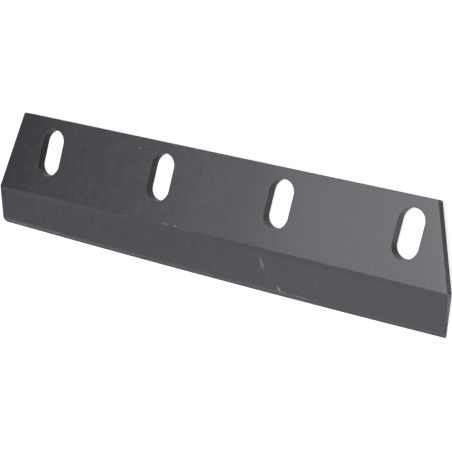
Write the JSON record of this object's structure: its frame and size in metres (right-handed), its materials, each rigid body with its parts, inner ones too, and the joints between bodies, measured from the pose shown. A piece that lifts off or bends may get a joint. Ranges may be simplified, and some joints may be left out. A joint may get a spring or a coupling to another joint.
{
  "type": "chopping knife",
  "caption": "Flat steel chopping knife, slotted for its bolts, with slanted ends and a long ground bevel down to a convex cutting edge.",
  "frame": {"origin": "middle of the box's underside: the knife lies on its flat back", "axes": "+X along the blade from the heel to the toe, +Y across it towards the slotted edge, +Z out of the bevelled front face"},
  "size_m": [0.361, 0.0848, 0.0075],
  "materials": {
    "lacquered_steel": "thin dark grey lacquer with a satin sheen over hardened steel"
  },
  "bodies": {
    "root": {"chopping_knife": "lacquered_steel"}
  },
  "joints": []
}
